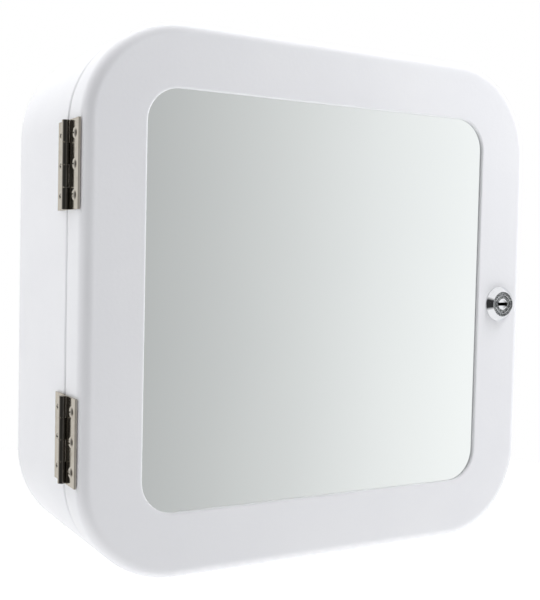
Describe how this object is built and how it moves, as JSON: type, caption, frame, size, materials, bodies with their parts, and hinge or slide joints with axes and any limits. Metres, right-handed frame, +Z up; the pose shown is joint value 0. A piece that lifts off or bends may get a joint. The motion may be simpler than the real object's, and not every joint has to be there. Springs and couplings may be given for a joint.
{
  "type": "hanging wall cabinet",
  "caption": "Square steel wall cabinet with rounded corners, a mirror set in a side-hung door, butt hinges, a cam lock, fixed shelves and keyhole slots in the back.",
  "frame": {"origin": "centre of the back face, in the plane of the wall", "axes": "+X to the right, +Y into the wall and +Z up, with the door shut and facing -Y"},
  "size_m": [0.325, 0.1259, 0.32],
  "materials": {
    "white_powder_coat": "smooth semi-gloss white powder coat on mild steel sheet",
    "mirror_glass": "silvered float glass",
    "nickel_plate": "nickel-plated steel, half polished",
    "lock_chrome": "chrome-plated zinc casting",
    "zinc_steel": "zinc-plated steel",
    "foam": "white closed-cell foam",
    "buffer_rubber": "pale grey rubber"
  },
  "bodies": {
    "body": {"body_shell": "white_powder_coat", "back_panel": "white_powder_coat", "shelf_upper": "white_powder_coat", "shelf_lower": "white_powder_coat", "buffer_upper": "buffer_rubber", "buffer_lower": "buffer_rubber", "hinge_upper_body_leaf": "nickel_plate", "tapped_plate_upper_body": "zinc_steel", "screw_upper_body_1": "nickel_plate", "screw_upper_body_2": "nickel_plate", "screw_upper_body_3": "nickel_plate", "hinge_upper_pin": "nickel_plate", "hinge_lower_body_leaf": "nickel_plate", "tapped_plate_lower_body": "zinc_steel", "screw_lower_body_1": "nickel_plate", "screw_lower_body_2": "nickel_plate", "screw_lower_body_3": "nickel_plate", "hinge_lower_pin": "nickel_plate"},
    "door": {"door_shell": "white_powder_coat", "mirror": "mirror_glass", "mirror_tape": "foam", "mirror_cushion": "foam", "mirror_back_plate": "zinc_steel", "mirror_clip_top_1": "zinc_steel", "mirror_clip_top_2": "zinc_steel", "mirror_clip_right_1": "zinc_steel", "mirror_clip_right_2": "zinc_steel", "mirror_clip_bottom_1": "zinc_steel", "mirror_clip_bottom_2": "zinc_steel", "mirror_clip_left_1": "zinc_steel", "mirror_clip_left_2": "zinc_steel", "lock_body": "lock_chrome", "lock_washer": "zinc_steel", "lock_nut": "zinc_steel", "hinge_upper_door_leaf": "nickel_plate", "tapped_plate_upper_door": "zinc_steel", "screw_upper_door_1": "nickel_plate", "screw_upper_door_2": "nickel_plate", "screw_upper_door_3": "nickel_plate", "hinge_lower_door_leaf": "nickel_plate", "tapped_plate_lower_door": "zinc_steel", "screw_lower_door_1": "nickel_plate", "screw_lower_door_2": "nickel_plate", "screw_lower_door_3": "nickel_plate"},
    "plug": {"lock_plug": "lock_chrome", "lock_cam": "zinc_steel", "cam_washer": "zinc_steel", "cam_screw": "zinc_steel"}
  },
  "joints": [
    {"name": "door_swing", "type": "hinge", "parent": "body", "child": "door", "pos_m": [-0.16255, -0.1005, 0], "axis": [0, 0, -1], "range_deg": [0, 180]},
    {"name": "lock_turn", "type": "hinge", "parent": "door", "child": "plug", "pos_m": [0.14, -0.1, -0.001], "axis": [0, -1, 0], "range_deg": [0, 90]}
  ]
}
